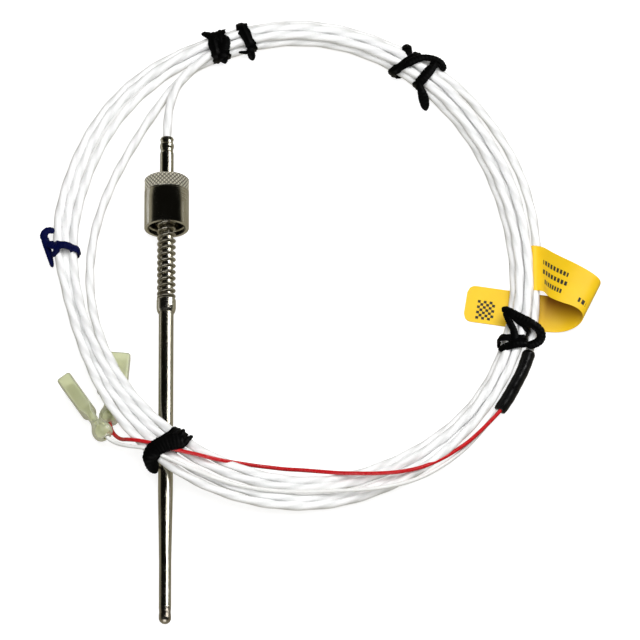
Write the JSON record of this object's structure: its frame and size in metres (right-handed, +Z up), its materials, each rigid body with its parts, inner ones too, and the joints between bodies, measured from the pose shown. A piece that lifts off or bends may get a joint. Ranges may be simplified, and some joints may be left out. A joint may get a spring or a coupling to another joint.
{
  "type": "thermocouple",
  "caption": "Spring-loaded bayonet thermocouple: a steel probe with a sliding lock cap, a tied coil of white lead, and red and white cores ending in insulated push-on terminals.",
  "frame": {"origin": "middle of the probe's length, under its axis, on the table that the cap and the coil lie on", "axes": "+Y along the probe from the sensing tip to the lead's exit, +Z up from the table, +X towards the coil's middle"},
  "size_m": [0.1837, 0.2148, 0.0154],
  "materials": {
    "stainless": "drawn and polished tube",
    "nickel_plate": "bright nickel plate",
    "spring_steel": "drawn spring wire",
    "weld_metal": "oxidised weld",
    "oxide_ceramic": "unglazed",
    "iron_wire": "drawn",
    "constantan_wire": "drawn",
    "potting_resin": "cast",
    "lead_jacket": "satin twisted insulation",
    "heat_shrink": "satin shrink tube",
    "red_insulation": "satin",
    "white_insulation": "satin",
    "nylon": "translucent moulded nylon",
    "tinned_brass": "tin plated",
    "label_vinyl": "satin film",
    "tie_black": "coated wire",
    "tie_blue": "coated wire"
  },
  "bodies": {
    "probe": {"front_sheath": "stainless", "tip_plug": "stainless", "spring_collar": "stainless", "back_tube": "stainless", "retaining_ring": "stainless", "compression_spring": "spring_steel", "insulator_1": "oxide_ceramic", "insulator_2": "oxide_ceramic", "insulator_3": "oxide_ceramic", "insulator_4": "oxide_ceramic", "insulator_5": "oxide_ceramic", "wire_iron": "iron_wire", "wire_constantan": "constantan_wire", "junction_bead": "weld_metal", "potting_seal": "potting_resin", "lead_stretch": "lead_jacket", "lead_coil": "lead_jacket", "shrink_sleeve": "heat_shrink", "lead_red": "red_insulation", "lead_white": "white_insulation", "terminal_housing_1": "nylon", "receptacle_1": "tinned_brass", "crimp_barrel_1": "tinned_brass", "terminal_housing_2": "nylon", "receptacle_2": "tinned_brass", "crimp_barrel_2": "tinned_brass", "marker_label": "label_vinyl", "twist_tie_1": "tie_black", "twist_tie_2": "tie_black", "twist_tie_3": "tie_black", "twist_tie_4": "tie_black", "twist_tie_5": "tie_blue", "twist_tie_6": "tie_black"},
    "spring_seat": {"spring_washer": "stainless"},
    "lock_cap": {"bayonet_cap": "nickel_plate"}
  },
  "joints": [
    {"name": "cap_slide", "type": "slide", "parent": "probe", "child": "spring_seat", "axis": [0, -1, 0], "range_m": [0, 0.02], "stiffness_N_per_m": 1600, "springref_m": -0.004, "deforming": ["compression_spring"]},
    {"name": "cap_turn", "type": "hinge", "parent": "spring_seat", "child": "lock_cap", "pos_m": [0, 0.0696, 0.00715], "axis": [0, 1, 0], "continuous": true}
  ]
}
